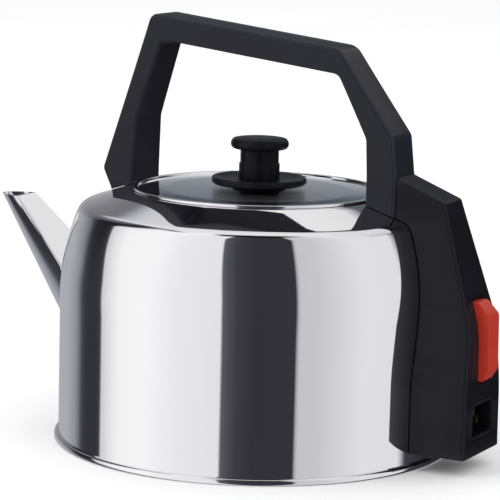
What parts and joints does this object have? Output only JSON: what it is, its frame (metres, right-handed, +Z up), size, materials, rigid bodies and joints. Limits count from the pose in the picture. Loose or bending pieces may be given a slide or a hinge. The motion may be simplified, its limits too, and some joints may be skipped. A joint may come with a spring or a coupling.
{
  "type": "corded electric kettle",
  "caption": "Round polished steel kettle with a lift-off lid, short wide spout, high angular handle and a black rear control housing with a red rocker switch.",
  "frame": {"origin": "centre of the flat ring under the rolled base seam, on the vessel's axis at the resting plane", "axes": "+Z up along the vessel's axis, +X towards the rear control housing, the spout points along -X, Y completes the frame"},
  "size_m": [0.3079, 0.22, 0.2314],
  "materials": {
    "polished_steel": "mirror polished stainless sheet",
    "plain_steel": "plain plated steel",
    "black_plastic": "semi-gloss moulded heat-resistant plastic",
    "inner_plastic": "matt moulded plastic",
    "red_plastic": "glossy red-orange plastic",
    "brass": "plain machined brass",
    "rubber": "matt silicone rubber",
    "lead_sleeve": "soft insulating sleeve",
    "ceramic": "unglazed ceramic"
  },
  "bodies": {
    "vessel": {"body_shell": "polished_steel", "base_plate": "polished_steel", "base_rim": "polished_steel", "spout": "polished_steel", "handle": "black_plastic", "handle_screws": "plain_steel", "handle_seal_washers": "rubber", "rear_housing": "black_plastic", "housing_screws": "plain_steel", "carrier_plate": "plain_steel", "carrier_rivets": "plain_steel", "switch_frame": "inner_plastic", "rocker_pin": "plain_steel", "contact_pin": "plain_steel", "fixed_contact": "brass", "thermostat_block": "inner_plastic", "bimetal_disc": "brass", "appliance_inlet": "inner_plastic", "line_pins": "brass", "earth_pin": "brass", "heating_element": "plain_steel", "element_head": "brass", "element_gasket": "rubber", "head_clamp_ring": "plain_steel", "clamp_nuts": "brass", "switch_leads": "lead_sleeve"},
    "lid_set": {"lid": "polished_steel", "lid_skirt": "polished_steel", "knob_heat_shield": "black_plastic", "lid_knob": "black_plastic", "knob_screw": "plain_steel", "knob_washer": "plain_steel"},
    "rocker": {"switch_rocker": "red_plastic"},
    "lever": {"contact_lever": "brass"},
    "rod": {"trip_rod": "ceramic"}
  },
  "joints": [
    {"name": "lid_lift", "type": "slide", "parent": "vessel", "child": "lid_set", "axis": [0, 0, 1], "range_m": [0, 0.03]},
    {"name": "rocker_tilt", "type": "hinge", "parent": "vessel", "child": "rocker", "pos_m": [0.1305, 0, 0.07], "axis": [0, -1, 0], "range_deg": [0, 9]},
    {"name": "lever_swing", "type": "hinge", "parent": "vessel", "child": "lever", "pos_m": [0.1146, 0, 0.061], "axis": [0, 1, 0], "range_deg": [0, 11]},
    {"name": "rod_push", "type": "slide", "parent": "vessel", "child": "rod", "axis": [0, 0, -1], "range_m": [0, 0.0018]}
  ],
  "couplings": [
    {"joint": "lever_swing", "follows": "rocker_tilt", "ratio": 1.2},
    {"joint": "rod_push", "follows": "rocker_tilt", "m_per_rad": 0.0112}
  ]
}
